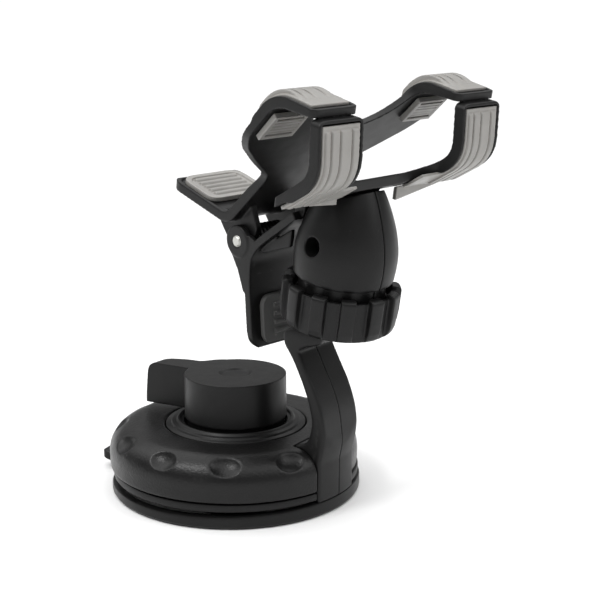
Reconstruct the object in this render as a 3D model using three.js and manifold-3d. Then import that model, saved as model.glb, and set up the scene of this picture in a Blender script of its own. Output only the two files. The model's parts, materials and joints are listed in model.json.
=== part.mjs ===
// Car phone mount: a twist-lock suction base, a two-part arm, a ball joint with a
// collar nut, and a spring clamp whose two jaws close around a phone like a hand.
// Millimetres, +Z up, origin at the centre of the suction face, arm on the +X side.

import * as THREE from 'three';
import { mergeVertices } from 'three/addons/utils/BufferGeometryUtils.js';
import Module from 'manifold-3d';

const wasm = await Module();
wasm.setup();

// ---------- driving dimensions ----------
const GAP = 0.3;                 // clearance between neighbouring pieces
const BASE_R = 39;               // suction disc and dome
const PLATE_R = 38.5;
const CUP_H = 3.0;
const PLATE_Z = [4.0, 7.4];
const DOME_Z = [7.7, 20.5];      // bottom edge and plateau
const PLATEAU_R = 31;
const WALL = 2.4;                // moulded wall of the dome
const RING_R = 22.2;             // recess in the plateau for the trim ring
const RECESS_Z = [16.4, 18.6];   // lower and upper face of the recess's floor
const RECESS_HOLE_R = 16.9;      // opening in that floor for the knob's skirt
const KNOB_R = [16.0, 15.9];     // at the foot and at the top
const KNOB_Z = [22.4, 36.0];
const KNOB_HOLLOW = { r: 12.8, roof: 32 };
const KNOB_HUB = { r: 6, foot: 19.6, bore: 3.7, roof: 33 };
const KNOB_SKIRT = { r: 15.2, foot: 16.6 };
const WING_REACH = 32.3;         // knob axis to the end of its wing
const STEM_R = 3.2;
const PIN_Z = 16;                // cross pin of the stem
const FOOT_X = 28.9;             // inner edge of the arm's foot
const ARM_HALF = 9.2;            // half the arm's width
const ARM_SCREW = [28.1, 50.4];
const BALL = { x: 39.24, z: 67.89, r: 8.5 };
const NECK_LEAN = 26;            // degrees, neck of the ball against vertical
const NECK_R = 3.6;
const NECK_END = 16.6;           // ball centre to the end of its neck
const NECK_FOOT_R = 4.0;
const NECK_KEY = { from: 13.2, to: 14.8, r: 5.2 };   // flange that keys the neck in the arm
const HEAD_TURN = { roll: 2, pitch: 11, yaw: -11.2 };
const NUT = { r: 17.3, root: 15.7, top: 2.2, bottom: -10.8, ribs: 12, phase: -8.2 };
const JAW_D = 1.0;               // jaws sit this far forward of the ball joint's axis
const JAW_HALF = 35.4;           // half the width over the fingers
const FINGER_IN = 19.7;          // inner side of a finger
const LEVER_HALF = 12;
const THUMB_HALF = 13.2;
const THUMB_PAD = { length: 16.4, half: 11.6, from: 1.7 };
const JAW_T = 2.4;               // moulded band of the jaws
const PIN = { d: -34.0, n: 5.3, r: 1.6, half: 12.7 };
const LUG_R = 4.8;

// ---------- materials ----------
function material(color, roughness, metalness = 0) {
  return new THREE.MeshStandardMaterial({ color, roughness, metalness });
}
const shell = () => material(0x202021, 0.55);
const soft = () => material(0x161617, 0.75);
const grip = () => material(0xa7a39f, 0.5);
const darkGrip = () => material(0x565656, 0.6);
const steel = () => material(0xc9c9c6, 0.3, 1);
const acetal = () => material(0xd8d6cf, 0.45);

// ---------- solids ----------
function toSolid(geometry) {
  const bare = geometry.clone();
  bare.deleteAttribute('normal');
  bare.deleteAttribute('uv');
  const merged = mergeVertices(bare, 1e-4);
  const at = merged.attributes.position;
  const triangles = [];
  let volume = 0;
  const [a, b, c] = [new THREE.Vector3(), new THREE.Vector3(), new THREE.Vector3()];
  for (let i = 0; i < merged.index.count; i += 3) {
    const [p, q, r] = [0, 1, 2].map((k) => merged.index.getX(i + k));
    if (p === q || q === r || r === p) continue;
    triangles.push([p, q, r]);
    a.fromBufferAttribute(at, p);
    b.fromBufferAttribute(at, q);
    c.fromBufferAttribute(at, r);
    volume += a.dot(b.clone().cross(c));
  }
  const facing = volume < 0 ? triangles.map(([p, q, r]) => [p, r, q]) : triangles;
  const mesh = new wasm.Mesh({
    numProp: 3,
    vertProperties: new Float32Array(at.array),
    triVerts: new Uint32Array(facing.flat()),
  });
  return new wasm.Manifold(mesh);
}

function toGeometry(solid) {
  const mesh = solid.getMesh();
  const geometry = new THREE.BufferGeometry();
  geometry.setAttribute('position', new THREE.BufferAttribute(mesh.vertProperties, 3));
  geometry.setIndex(new THREE.BufferAttribute(mesh.triVerts, 1));
  geometry.computeVertexNormals();
  return geometry;
}

const join = (...solids) => solids.reduce((sum, one) => sum.add(one));
const cut = (body, ...tools) => tools.reduce((rest, one) => rest.subtract(one), body);

// Turned about Z from [radius, height] pairs.
function turned(profile, segments = 64) {
  const loop = [...profile, profile[0]].map(([r, z]) => new THREE.Vector2(r, z));
  return toSolid(new THREE.LatheGeometry(loop, segments).rotateX(Math.PI / 2));
}

function extruded(outline, depth) {
  const apart = outline.filter(([x, y], i) => {
    const [u, v] = outline.at(i - 1);
    return Math.hypot(x - u, y - v) > 1e-3;
  });
  const shape = new THREE.Shape(apart.map(([x, y]) => new THREE.Vector2(x, y)));
  return new THREE.ExtrudeGeometry(shape, { depth, bevelEnabled: false });
}

// An [x, z] outline pulled along Y, an [x, y] outline along Z, a [y, z] outline along X.
function alongY(outline, y0, y1) {
  return toSolid(extruded(outline, y1 - y0).rotateX(Math.PI / 2).translate(0, y1, 0));
}
function alongZ(outline, z0, z1) {
  return toSolid(extruded(outline, z1 - z0).translate(0, 0, z0));
}
function alongX(outline, x0, x1) {
  const turn = new THREE.Matrix4().set(0, 0, 1, x0, 1, 0, 0, 0, 0, 1, 0, 0, 0, 0, 0, 1);
  return toSolid(extruded(outline, x1 - x0).applyMatrix4(turn));
}

function box(x0, x1, y0, y1, z0, z1) {
  return alongZ([[x0, y0], [x1, y0], [x1, y1], [x0, y1]], z0, z1);
}

// A cylinder or cone between two points.
function rod(from, to, r0, r1 = r0, segments = 28) {
  const start = new THREE.Vector3(...from);
  const run = new THREE.Vector3(...to).sub(start);
  const length = run.length();
  const geometry = new THREE.CylinderGeometry(r1, r0, length, segments).translate(0, length / 2, 0);
  const up = new THREE.Vector3(0, 1, 0);
  geometry.applyQuaternion(new THREE.Quaternion().setFromUnitVectors(up, run.normalize()));
  return toSolid(geometry.translate(start.x, start.y, start.z));
}

function ball(x, y, z, rx, ry = rx, rz = rx, across = 32, down = 20) {
  const sphere = new THREE.SphereGeometry(1, across, down).rotateX(Math.PI / 2);
  return toSolid(sphere.scale(rx, ry, rz).translate(x, y, z));
}

// ---------- outlines ----------
// Corners are [x, y, reach]: a corner with a reach is rounded from that far before it
// to that far after it.
function rounded(corners, closed = false, steps = 5) {
  const points = [];
  const count = corners.length;
  corners.forEach(([x, y, reach = 0], i) => {
    const here = new THREE.Vector2(x, y);
    if (!reach || (!closed && (i === 0 || i === count - 1))) {
      points.push([x, y]);
      return;
    }
    const before = new THREE.Vector2(...corners[(i + count - 1) % count]);
    const after = new THREE.Vector2(...corners[(i + 1) % count]);
    const start = here.clone().add(before.sub(here).setLength(reach));
    const end = here.clone().add(after.sub(here).setLength(reach));
    const bend = new THREE.QuadraticBezierCurve(start, here, end);
    bend.getPoints(steps).forEach((p) => points.push([p.x, p.y]));
  });
  return points;
}

// Points along a smooth curve through the given ones.
function spline(points, divisions) {
  const curve = new THREE.SplineCurve(points.map(([x, y]) => new THREE.Vector2(x, y)));
  return curve.getPoints(divisions).map((p) => [p.x, p.y]);
}

const mirrored = (half) => [...half, ...half.map(([x, y]) => [x, -y]).reverse()];

// The line moved sideways, to its left when the offset is positive.
function offset(line, amount) {
  return line.map(([x, y], i) => {
    const before = line[Math.max(i - 1, 0)];
    const after = line[Math.min(i + 1, line.length - 1)];
    const way = new THREE.Vector2(after[0] - before[0], after[1] - before[1]).normalize();
    return [x - way.y * amount, y + way.x * amount];
  });
}

const strip = (line, near, far) => [...offset(line, near), ...offset(line, far).reverse()];

// The stretch of a line between two fractions of its length.
function stretch(line, from, to) {
  const lengths = [0];
  line.slice(1).forEach(([x, y], i) => {
    lengths.push(lengths[i] + Math.hypot(x - line[i][0], y - line[i][1]));
  });
  const total = lengths.at(-1);
  const pointAt = (fraction) => {
    const reach = fraction * total;
    const i = Math.max(1, lengths.findIndex((length) => length >= reach));
    const share = (reach - lengths[i - 1]) / (lengths[i] - lengths[i - 1]);
    return line[i].map((value, k) => line[i - 1][k] + (value - line[i - 1][k]) * share);
  };
  const inner = line.filter((_, i) => lengths[i] > from * total && lengths[i] < to * total);
  return [pointAt(from), ...inner, pointAt(to)];
}

// ---------- the object ----------
const mount = new THREE.Group();
const head = new THREE.Group();
head.position.set(BALL.x, 0, BALL.z);
const turn = [HEAD_TURN.roll, HEAD_TURN.pitch, HEAD_TURN.yaw].map(THREE.MathUtils.degToRad);
head.rotation.set(...turn, 'ZYX');
mount.add(head);
const jaws = new THREE.Group();
jaws.position.set(JAW_D, 0, 0);
head.add(jaws);

function place(parent, name, solid, look) {
  const mesh = new THREE.Mesh(toGeometry(solid), look);
  mesh.name = name;
  parent.add(mesh);
}

function polar(r, degrees) {
  const angle = THREE.MathUtils.degToRad(degrees);
  return [r * Math.cos(angle), r * Math.sin(angle)];
}

// ---------- suction base ----------
const BASE_SCREW_ANGLES = [60, 180, 300];
const BASE_SCREW_R = 30;
const TAB_TURN = 193;            // degrees round the base to the cup's pull tab
// finger dimples around the dome's shoulder: centre, lean of their axis, half sizes
const DIMPLE = { phase: 33.5, r: 37.6, z: 19.8, lean: 49, axes: [3.1, 5.4, 4.5] };
const BASE_BOSS_R = 3.2;
const PILOT_R = 1.8;             // bore for a base screw's thread
const FOOT_SCREW = { x: 32, y: 5 };
const FOOT_PILOT_R = 1.6;
const HEAD_ROOM_H = 1.9;         // depth of the pockets for the screws' heads
const LIP_X = 36.2;              // inner face of the arm's lip over the plate's rim

function screw(x, y, z0, z1, headR, headH, shankR, segments = 14) {
  const headOf = rod([x, y, z0], [x, y, z0 + headH], headR, headR, segments);
  return join(headOf, rod([x, y, z0], [x, y, z1], shankR, shankR, segments));
}

function suctionCup() {
  const disc = turned([
    [0, 0], [BASE_R - 0.8, 0], [BASE_R, 0.8], [BASE_R, CUP_H - 0.4], [BASE_R - 0.6, CUP_H],
    [35, CUP_H], [31, 2.2], [9, 2.2], [7, 6.0], [0, 6.0],
  ], 54);
  const side = [[34, 0.7], [39.5, 1.2], [46.5, 3.2], [46.7, 5.9], [40.5, 4.2], [34, 3.0]];
  const plan = rounded([[34, -5], [46.7, -4.2, 1.8], [46.7, 4.2, 1.8], [34, 5]], true, 3);
  const tab = alongY(side, -6, 6).intersect(alongZ(plan, 0, 8)).rotate([0, 0, TAB_TURN]);
  return disc.add(tab);
}

function basePlate() {
  const [low, high] = PLATE_Z;
  const disc = turned([
    [8.4, low], [PLATE_R - 0.6, low], [PLATE_R, low + 0.6], [PLATE_R, high - 0.3],
    [PLATE_R - 0.3, high], [11, high], [11, 14.6], [4.4, 14.6], [4.4, 14.1], [8.4, 14.1],
  ], 54);
  const holes = BASE_SCREW_ANGLES.map((angle) => {
    const [x, y] = polar(BASE_SCREW_R, angle);
    return screw(x, y, low - 0.1, high + 0.1, BASE_BOSS_R, HEAD_ROOM_H, PILOT_R, 12);
  });
  const feet = [-1, 1].map((side) => {
    const [x, y] = [FOOT_SCREW.x, side * FOOT_SCREW.y];
    return screw(x, y, low - 0.1, high + 0.1, 2.9, HEAD_ROOM_H, FOOT_PILOT_R, 12);
  });
  const lipNotch = box(LIP_X - GAP, BASE_R, -ARM_HALF - GAP, ARM_HALF + GAP, low - 1, high + 1);
  return cut(disc, ...holes, ...feet, lipNotch);
}

// Quarter-oval shoulder between the upright wall and the plateau.
function shoulder(wall, low, plateau, high, steps = 4) {
  return Array.from({ length: steps + 1 }, (_, i) => {
    const angle = (i / steps) * (Math.PI / 2);
    return [plateau + (wall - plateau) * Math.cos(angle), low + (high - low) * Math.sin(angle)];
  });
}

function domeCover() {
  const [low, high] = DOME_Z;
  const outer = shoulder(BASE_R, 12.6, PLATEAU_R, high);
  const inner = shoulder(BASE_R - WALL, 11.4, PLATEAU_R - 1, high - WALL).reverse();
  const cover = turned([
    [BASE_R - 0.3, low], ...outer, [RING_R, high], [RING_R, RECESS_Z[1]],
    [RECESS_HOLE_R, RECESS_Z[1]], [RECESS_HOLE_R, RECESS_Z[0]], [RING_R, RECESS_Z[0]],
    [RING_R + 2, high - WALL], ...inner, [BASE_R - WALL, low],
  ], 54);
  const bosses = BASE_SCREW_ANGLES.map((angle) => {
    const [x, y] = polar(BASE_SCREW_R, angle);
    return rod([x, y, low], [x, y, 19], BASE_BOSS_R, BASE_BOSS_R, 14);
  });
  const pilots = BASE_SCREW_ANGLES.map((angle) => {
    const [x, y] = polar(BASE_SCREW_R, angle);
    return rod([x, y, low - 0.1], [x, y, 15.3], PILOT_R, PILOT_R, 12);
  });
  const wide = ARM_HALF + GAP + 0.1;
  const footNotch = box(FOOT_X - GAP, BASE_R + 2, -wide, wide, low - 1, high + 1);
  const dimples = [];
  for (let angle = DIMPLE.phase; angle < 360; angle += 30) {
    const dimple = new THREE.SphereGeometry(1, 10, 6).scale(...DIMPLE.axes);
    dimple.rotateY(-THREE.MathUtils.degToRad(DIMPLE.lean)).translate(DIMPLE.r, 0, DIMPLE.z);
    if (angle < 350) dimples.push(toSolid(dimple.rotateZ(THREE.MathUtils.degToRad(angle))));
  }
  return cut(join(cover, ...bosses), ...pilots, footNotch, ...dimples);
}

function trimRing() {
  return turned([
    [16.3, 18.9], [RING_R - GAP, 18.9], [RING_R - GAP, 20.5], [20.2, 20.6], [20, 21.2],
    [18.3, 21.3], [18.1, 22.0], [16.3, 22.0],
  ], 40);
}

function lockKnob() {
  const [low, high] = KNOB_Z;
  const [wide, narrow] = KNOB_R;
  const body = turned([
    [0, high - 0.5], [3.6, high - 0.4], [5, high], [narrow - 0.4, high], [narrow, high - 0.4],
    [wide, low], [KNOB_SKIRT.r, low], [KNOB_SKIRT.r, KNOB_SKIRT.foot],
    [KNOB_HOLLOW.r, KNOB_SKIRT.foot], [KNOB_HOLLOW.r, KNOB_HOLLOW.roof],
    [KNOB_HUB.r, KNOB_HOLLOW.roof], [KNOB_HUB.r, KNOB_HUB.foot], [KNOB_HUB.bore, KNOB_HUB.foot],
    [KNOB_HUB.bore, KNOB_HUB.roof], [0, KNOB_HUB.roof],
  ], 42);
  const near = rounded([
    [-10, -10.5], [-15.2, -4.2, 2], [-WING_REACH, -6.4, 1.2], [-32.1, -3.5, 1],
    [-28.5, 0.6, 2], [-22.5, 3.6, 3], [-17.4, 4.2, 1.6], [-14, 9.5, 2], [-10, 11.5],
  ], true, 4);
  const side = rounded([
    [-8, low], [-WING_REACH, low], [-WING_REACH + 1.3, high, 4], [-8, high],
  ], true, 5);
  const wing = alongZ(near, low, high).intersect(alongY(side, -15, 15));
  const hollow = rod([0, 0, low - 1], [0, 0, KNOB_HOLLOW.roof], KNOB_HOLLOW.r, KNOB_HOLLOW.r, 42);
  return join(body, wing.subtract(hollow));
}

function liftStem() {
  const stem = turned([[0, 6.3], [6.2, 6.3], [6.2, 7.6], [STEM_R, 7.6], [STEM_R, 29.6], [0, 29.6]], 32);
  return stem.subtract(rod([0, -9, PIN_Z], [0, 9, PIN_Z], 1.5, 1.5, 16));
}

// A coil of round wire about Z, its ends flattened by the way it winds.
function coil(radius, wire, low, high, turns, perTurn = 10, sides = 5) {
  class Helix extends THREE.Curve {
    getPoint(t, target = new THREE.Vector3()) {
      const angle = t * turns * 2 * Math.PI;
      return target.set(radius * Math.cos(angle), radius * Math.sin(angle), low + (high - low) * t);
    }
  }
  const section = Array.from({ length: sides }, (_, i) => polar(wire, (i * 360) / sides));
  const shape = new THREE.Shape(section.map(([x, y]) => new THREE.Vector2(x, y)));
  const steps = Math.round(turns * perTurn);
  return toSolid(new THREE.ExtrudeGeometry(shape, { steps, extrudePath: new Helix() }));
}

place(mount, 'suction_cup', suctionCup(), soft());
place(mount, 'base_plate', basePlate(), shell());
place(mount, 'dome_cover', domeCover(), shell());
place(mount, 'trim_ring', trimRing(), shell());
place(mount, 'lock_knob', lockKnob(), shell());
place(mount, 'lift_stem', liftStem(), acetal());
place(mount, 'stem_pin', rod([0, -7.6, PIN_Z], [0, 7.6, PIN_Z], 1.2, 1.2, 16), steel());
place(mount, 'cup_spring', coil(5.4, 0.5, 8.5, 12.2, 4), steel());
place(mount, 'spring_washer', turned([[3.7, 13.0], [7.6, 13.0], [7.6, 13.7], [3.7, 13.7]], 24), steel());
BASE_SCREW_ANGLES.forEach((angle, i) => {
  const [x, y] = polar(BASE_SCREW_R, angle);
  place(mount, `base_screw_${i + 1}`, screw(x, y, PLATE_Z[0] + 0.2, 14.5, 2.9, 1.3, 1.4), steel());
});

// ---------- arm ----------
const NECK_WAY = polar(1, 90 - NECK_LEAN);
const alongNeck = (reach) => [BALL.x - NECK_WAY[0] * reach, 0, BALL.z - NECK_WAY[1] * reach];

function armBody() {
  const inner = spline([[34.5, 25.6], [34.9, 29], [33.8, 34], [31.5, 40], [28.2, 46.5], [25.4, 50.6]], 9);
  const outer = spline([[30.2, 49.4], [33.4, 43.3], [36.3, 37.4], [38.3, 30.8], [39.2, 22]], 9);
  const side = [
    ...rounded([[FOOT_X, 7.7], [FOOT_X, 20.6, 0.8], [33.4, 22.0, 2], inner[0]]), ...inner,
    ...rounded([inner.at(-1), [24.9, 52, 1], [24.9, 55.2, 1.8], [34.4, 58.6, 1.6], [39.4, 56.4, 1.6],
      [38.0, 52.2, 1.8], [31.9, 50.6, 1.6], outer[0]]),
    ...outer, [39.2, 4.2], [LIP_X, 4.2], [LIP_X, 7.7],
  ];
  const slab = alongY(side, -ARM_HALF, ARM_HALF);
  const rimR = BASE_R - 0.2;
  const rimRound = turned([
    [0, 0], [rimR, 0], [rimR, 20], [rimR + 1.2, 30], [50, 45], [50, 70], [0, 70],
  ], 72);
  const front = rounded([
    [-ARM_HALF, 0], [-ARM_HALF, 59, 5.5], [ARM_HALF, 59, 5.5], [ARM_HALF, 0],
  ], true, 4);
  return slab.intersect(rimRound).intersect(alongX(front, 20, 45));
}

function armHalf(side) {
  const [from, to] = side < 0 ? [-20, -GAP / 2] : [GAP / 2, 20];
  const half = armBody().intersect(box(0, 60, from, to, 0, 90));
  const socketR = NECK_FOOT_R + GAP;
  const socket = rod(alongNeck(9), alongNeck(NECK_END + 0.4), socketR, socketR, 20);
  const [keyFrom, keyTo] = [alongNeck(NECK_KEY.from - GAP), alongNeck(NECK_KEY.to + GAP)];
  const keyRoom = rod(keyFrom, keyTo, NECK_KEY.r + GAP, NECK_KEY.r + GAP, 16);
  const [x, z] = ARM_SCREW;
  const tools = [socket, keyRoom, rod([x, -ARM_HALF + 2.2, z], [x, 20, z], 1.3, 1.3, 12)];
  if (side > 0) tools.push(rod([x, ARM_HALF - 2.2, z], [x, 20, z], 2.4, 2.4, 16));
  const [footX, footY] = [FOOT_SCREW.x, side * FOOT_SCREW.y];
  tools.push(rod([footX, footY, 7], [footX, footY, 15.5], FOOT_PILOT_R, FOOT_PILOT_R, 16));
  return cut(half, ...tools);
}

function ballStud() {
  const sphere = ball(BALL.x, 0, BALL.z, BALL.r, BALL.r, BALL.r, 24, 14);
  const neck = rod(alongNeck(0), alongNeck(NECK_END), NECK_R, NECK_FOOT_R, 20);
  const key = rod(alongNeck(NECK_KEY.from), alongNeck(NECK_KEY.to), NECK_KEY.r, NECK_KEY.r, 16);
  return join(sphere, neck, key);
}

place(mount, 'arm_near_half', armHalf(-1), shell());
place(mount, 'arm_far_half', armHalf(1), shell());
place(mount, 'ball_stud', ballStud(), shell());
[-1, 1].forEach((side, i) => {
  const foot = screw(FOOT_SCREW.x, side * FOOT_SCREW.y, PLATE_Z[0] + 0.2, 14.8, 2.6, 1.3, 1.25);
  place(mount, `foot_screw_${i + 1}`, foot, steel());
});
function armScrew() {
  const [x, z] = ARM_SCREW;
  const shank = rod([x, -ARM_HALF + 2.6, z], [x, ARM_HALF - 1, z], 1.0, 1.0, 12);
  return shank.add(rod([x, ARM_HALF - 1.9, z], [x, ARM_HALF - 0.4, z], 2.1, 2.1, 16));
}
place(mount, 'arm_screw', armScrew(), steel());

// ---------- ball joint, in the head's own axes: d forward, q across, n up ----------
function sphereArc(radius, fromN, toN, steps = 4) {
  return Array.from({ length: steps + 1 }, (_, i) => {
    const n = fromN + ((toN - fromN) * i) / steps;
    return [Math.sqrt(radius * radius - n * n), n];
  });
}
const SEAT_R = BALL.r + 0.35;
const SEAT_OUTER_R = 9.9;

function ballSeat() {
  return turned([...sphereArc(SEAT_R, 2.7, 7.6), ...sphereArc(SEAT_OUTER_R, 2.7, 8.6).reverse()], 28);
}

function frictionRing() {
  return turned([
    ...sphereArc(SEAT_R, -4.9, -0.5), [SEAT_OUTER_R, -0.5], [SEAT_OUTER_R, -3.3],
    [12.4, -3.3], [12.4, -4.9],
  ], 28);
}

function collarNut() {
  const tips = [];
  const pitch = 360 / NUT.ribs;
  for (let i = 0; i < NUT.ribs; i += 1) {
    const rib = [
      [-0.27, NUT.root], [-0.21, NUT.r], [0, NUT.r + 0.1], [0.21, NUT.r], [0.27, NUT.root],
      [0.5, NUT.root],
    ];
    rib.forEach(([share, r]) => tips.push(polar(r, (i + share) * pitch + NUT.phase)));
  }
  const ribbed = alongZ(tips, NUT.bottom, NUT.top);
  const envelope = turned([
    [0, NUT.bottom], [14.6, NUT.bottom], [15.9, -10.3], [16.9, -8.6], [17.4, -4], [17.4, 1.4],
    [16.4, NUT.top], [0, NUT.top],
  ], 48);
  const room = turned([
    [0, -12], [13.9, -12], [13.4, NUT.bottom], [10.6, -6], [10.6, -5.2], [13.1, -5.2],
    [13.1, 3], [0, 3],
  ], 32);
  return ribbed.intersect(envelope).subtract(room);
}

place(head, 'ball_seat', ballSeat(), acetal());
place(head, 'friction_ring', frictionRing(), acetal());
place(head, 'collar_nut', collarNut(), shell());

// ---------- jaws' side lines ----------
const THUMB_END = [-65.4, 13.0];
const THUMB_BEND = [-37.9, 9.2];
const UPPER_LINE = rounded([
  THUMB_END, [...THUMB_BEND, 4.5], [1.0, 56.8, 4.6], [15.0, 55.7],
], false, 7);
const LOWER_LINE = rounded([[-14, 26.2], [3.2, 32.6, 4], [15.5, 42.2, 4], [13.8, 56.2]], false, 6);
const LEVER_LINE = rounded([
  [-11.6, 20.2], [-26.0, 7.0, 3], [-29.0, 1.5, 2.4], [-28.2, -6.8, 3], [-24.0, -26],
], false, 4);
const FINGERS = [['near', -JAW_HALF, -FINGER_IN], ['far', FINGER_IN, JAW_HALF]];
const SCREW_N = 14.7;
const POST_HALF = 5;
const CLAMP_SCREW_HOLE_R = 1.7;

// The room that the lower jaw takes out of the housing, as a side outline.
const JAW_ROOM = [
  [-40, -14], [-24.1, 5.0], [-10.3, 17.9], [-9.6, 24.7], [1.6, 28.9], [8, 31.8], [20, 40],
  [20, 70], [-40, 70],
].map(([d, n]) => [d + JAW_D, n]);

function housing() {
  const outside = turned([
    [0, -3], [12.7, -3], [12.7, 3.9], [14.0, 4.1], [14.6, 5.0], [14.9, 9], [14.7, 13],
    [13.6, 18], [11.9, 23], [9.9, 27.5], [7.6, 31.5], [5, 35], [0, 36],
  ], 48);
  const inside = turned([[0, -4], [10.3, -4], [10.3, 10.2], [0, 10.2]], 36);
  const room = POST_HALF + GAP;
  const post = box(-room, room, -room, room, 11.4, 50);
  return cut(outside, inside, post, alongY(JAW_ROOM, -20, 20));
}

function housingHalf(side) {
  const [from, to] = side < 0 ? [-20, -GAP / 2] : [GAP / 2, 20];
  const half = housing().intersect(box(-20, 20, from, to, -20, 60));
  const bore = rod([0, -20, SCREW_N], [0, 12, SCREW_N], CLAMP_SCREW_HOLE_R, CLAMP_SCREW_HOLE_R, 20);
  const tools = [bore];
  if (side < 0) tools.push(rod([0, -20, SCREW_N], [0, -8.3, SCREW_N], 3, 3, 28));
  return cut(half, ...tools);
}

function housingScrew() {
  const shank = rod([0, -9.2, SCREW_N], [0, 11, SCREW_N], 1.4, 1.4, 16);
  return shank.add(rod([0, -10.2, SCREW_N], [0, -8.6, SCREW_N], 2.7, 2.7, 20));
}

// Raised frame round a finger's soft grip: a rail along each edge and one at the tip.
const RAIL_WIDTH = 1.0;
const RAIL_TIP = 0.975;
function fingerFrame(line, outerFrom, innerFrom, side, height) {
  const [near, far] = [side * (JAW_T - 0.3), side * (JAW_T + height)];
  const rail = (from) => strip(stretch(line, from, 1), near, far);
  const tip = rail(side > 0 ? RAIL_TIP + 0.011 : RAIL_TIP);
  return join(...FINGERS.flatMap(([, q0, q1]) => [
    alongY(rail(q0 < 0 ? outerFrom : innerFrom), q0, q0 + RAIL_WIDTH),
    alongY(rail(q0 < 0 ? innerFrom : outerFrom), q1 - RAIL_WIDTH, q1),
    alongY(tip, q0, q1),
  ]));
}

// ---------- lower jaw: plate, two fingers, lever and the pin's outer lugs ----------
function bothSides(make) {
  return join(make(-1), make(1));
}

function across(outline, side, near, far) {
  return side < 0 ? alongY(outline, -far, -near) : alongY(outline, near, far);
}

function disc(d, n, r, count = 24) {
  return Array.from({ length: count }, (_, i) => {
    const [x, y] = polar(r, (i * 360) / count);
    return [d + x, n + y];
  });
}

function pinHole() {
  const holeR = PIN.r + 0.1;
  return rod([PIN.d, -20, PIN.n], [PIN.d, 20, PIN.n], holeR, holeR, 24);
}

function lowerJaw() {
  const plan = mirrored(rounded([
    [-14, 9], [-4, 11.5, 3], [1.5, 14, 3], [3.8, 24, 3], [4.0, JAW_HALF, 1.6],
    [20, JAW_HALF], [20, FINGER_IN], [10.4, FINGER_IN, 2.5], [7, 11.5, 3], [7, 0],
  ], false, 4));
  const band = alongY(strip(LOWER_LINE, 0, -JAW_T), -JAW_HALF, JAW_HALF);
  const frame = fingerFrame(LOWER_LINE, 0.44, 0.53, -1, 1.1);
  const plate = band.intersect(alongZ(plan, 0, 60)).add(frame);
  const leverFront = rounded([
    [-LEVER_HALF, 30], [-LEVER_HALF, -26.6, 6], [LEVER_HALF, -26.6, 6], [LEVER_HALF, 30],
  ], true, 5);
  const lever = alongY(strip(LEVER_LINE, JAW_T / 2, -JAW_T / 2), -LEVER_HALF, LEVER_HALF)
    .intersect(alongX(leverFront, -40, 0));
  const hub = alongY([
    [-18.5, 14.6], [-10.9, 19.2], [-10.0, 25.9], [-12, 26.9], [-14, 26], [-14.6, 18.6],
  ], -9, 9);
  const boss = alongY([
    [-10, 25.6], [-9.2, 25.7], [1.6, 29.9], [7, 32.2], [7, 35], [2, 32], [-10, 27.5],
  ], -11, 11);
  const post = box(-POST_HALF - JAW_D, POST_HALF - JAW_D, -POST_HALF, POST_HALF, 11.8, 30.5);
  const flangeOutline = [
    [-37.6, 2.2], [-32.9, -3.5], [-29.6, -9.4], [-27.4, -10], [-27.6, 4], [-25.5, 7.4], [-29.6, 8.4],
  ];
  const ribOutline = [[-25.2, 4.0], [-13.8, 9.7], [-13.8, 15.2], [-23.6, 7.4], [-26.2, 5.0]];
  const flanges = bothSides((side) => join(
    across(flangeOutline, side, 10.3, LEVER_HALF),
    across(disc(PIN.d, PIN.n, LUG_R), side, 10.3, LEVER_HALF + 0.4),
    across(ribOutline, side, 8.4, 10.0),
  ));
  const holes = [
    rod([-JAW_D, -20, SCREW_N], [-JAW_D, 20, SCREW_N], CLAMP_SCREW_HOLE_R, CLAMP_SCREW_HOLE_R, 16),
    pinHole(),
  ];
  return cut(join(plate, lever, hub, boss, post, flanges), ...holes);
}

// ---------- upper jaw: thumb plate, ramp, two fingers and the pin's inner lugs ----------
const NOTCH_N = 44.6;            // floor of the opening between the upper fingers
const UPPER_HALF_OUTLINE = [
  [THUMB_HALF, 0], [THUMB_HALF, 29, 3], [22, 34.6, 3], [32, 41.8, 3], [JAW_HALF, 46.8, 2],
  [JAW_HALF, 64], [FINGER_IN, 64], [FINGER_IN, 56, 2], [15, NOTCH_N + 4, 5], [5, NOTCH_N, 3],
  [0, NOTCH_N],
];

function upperJaw() {
  const half = rounded(UPPER_HALF_OUTLINE, false, 4);
  const front = [...half, ...half.map(([q, n]) => [-q, n]).reverse()];
  const thumb = rounded([
    [-66, -THUMB_HALF, 5], [20, -THUMB_HALF], [20, -JAW_HALF], [30, -JAW_HALF],
    [30, JAW_HALF], [20, JAW_HALF], [20, THUMB_HALF], [-66, THUMB_HALF, 5],
  ], true, 5);
  const wide = alongZ([[-35, -40], [30, -40], [30, 40], [-35, 40]], 0, 70);
  const limits = join(alongZ(thumb, 0, 70), wide);
  const band = alongY(strip(UPPER_LINE, 0, JAW_T), -JAW_HALF, JAW_HALF);
  const bare = band.intersect(alongX(front, -70, 30)).intersect(limits);
  const plate = bare.add(fingerFrame(UPPER_LINE, 0.75, 0.75, 1, 0.8));
  const tipRoom = alongY([[4, 56.56], [16.5, 56.55], [16.5, 54], [4, 54]], -40, 40);
  const lugOutline = rounded([
    [-47.5, 10.8], [-41.6, 4.4, 2], [-37.2, 1.6, 2], [-33, 0.9, 2], [-29.7, 3.4, 2],
    [-28.4, 10.8, 1], [-31.6, 16.4],
  ], true, 3);
  const lugs = bothSides((side) => across(lugOutline, side, 7.9, 9.9));
  return cut(join(plate, lugs), pinHole(), tipRoom);
}

// ---------- soft grips ----------
const GRIP_T = 1.0;
const GRIP_BORDER = 1.3;
const TAIL_FROM = 13;
const PAD_LIFT = 0.85;           // pad underside above the face it lies on
const UPPER_GRIP_FROM = 0.765;
const UPPER_GRIP_TO = 0.976;
const UPPER_PAD = [0.74, 0.83];
const LOWER_GRIP = [0.41, 0.963];
const LOWER_TAIL = [0.41, 0.5];  // flat end of the grip that runs on under the plate

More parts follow.
